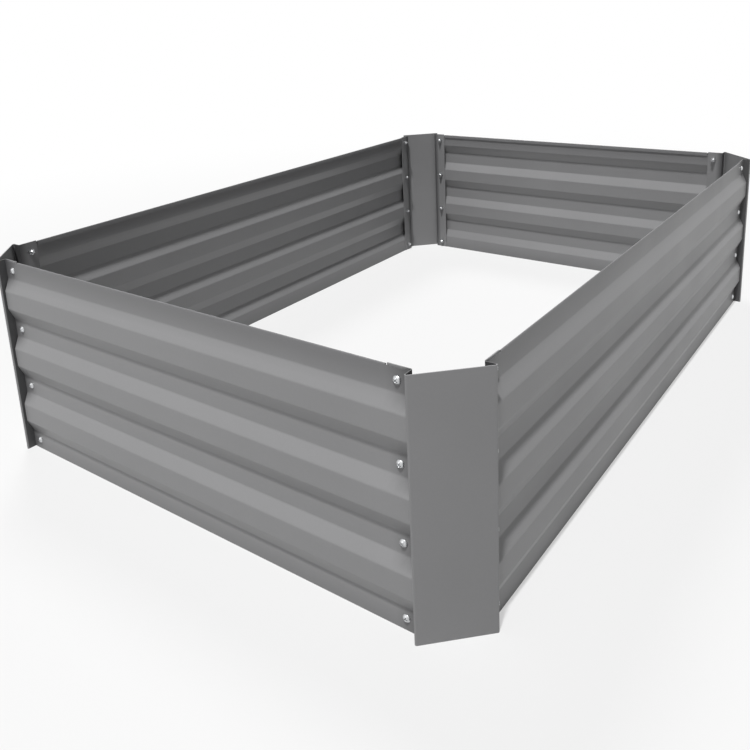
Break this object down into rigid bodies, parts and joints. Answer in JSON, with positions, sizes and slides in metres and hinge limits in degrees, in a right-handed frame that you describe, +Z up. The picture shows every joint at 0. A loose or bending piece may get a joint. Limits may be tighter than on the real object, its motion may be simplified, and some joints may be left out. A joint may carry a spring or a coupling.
{
  "type": "raised garden bed",
  "caption": "Rectangular raised garden bed of ribbed sheet-steel walls screwed to folded, slanting corner posts, open at the top and bottom.",
  "frame": {"origin": "on the ground, in the middle of the bed", "axes": "+Z up, +X along the long walls, +Y from the front wall to the back wall"},
  "size_m": [1.2, 0.83, 0.3],
  "materials": {
    "wall_paint": "satin grey powder coat on galvanised sheet steel",
    "post_paint": "satin grey powder coat on folded sheet steel",
    "screw_zinc": "bright zinc plating",
    "nut_zinc": "bright zinc plating"
  },
  "bodies": {
    "root": {"front_panel": "wall_paint", "right_panel": "wall_paint", "back_panel": "wall_paint", "left_panel": "wall_paint", "front_left_corner": "post_paint", "front_right_corner": "post_paint", "back_left_corner": "post_paint", "back_right_corner": "post_paint", "front_screws_left": "screw_zinc", "front_screws_right": "screw_zinc", "right_screws_front": "screw_zinc", "right_screws_back": "screw_zinc", "back_screws_right": "screw_zinc", "back_screws_left": "screw_zinc", "left_screws_back": "screw_zinc", "left_screws_front": "screw_zinc", "front_nuts_left": "nut_zinc", "front_nuts_right": "nut_zinc", "right_nuts_front": "nut_zinc", "right_nuts_back": "nut_zinc", "back_nuts_right": "nut_zinc", "back_nuts_left": "nut_zinc", "left_nuts_back": "nut_zinc", "left_nuts_front": "nut_zinc"}
  },
  "joints": []
}
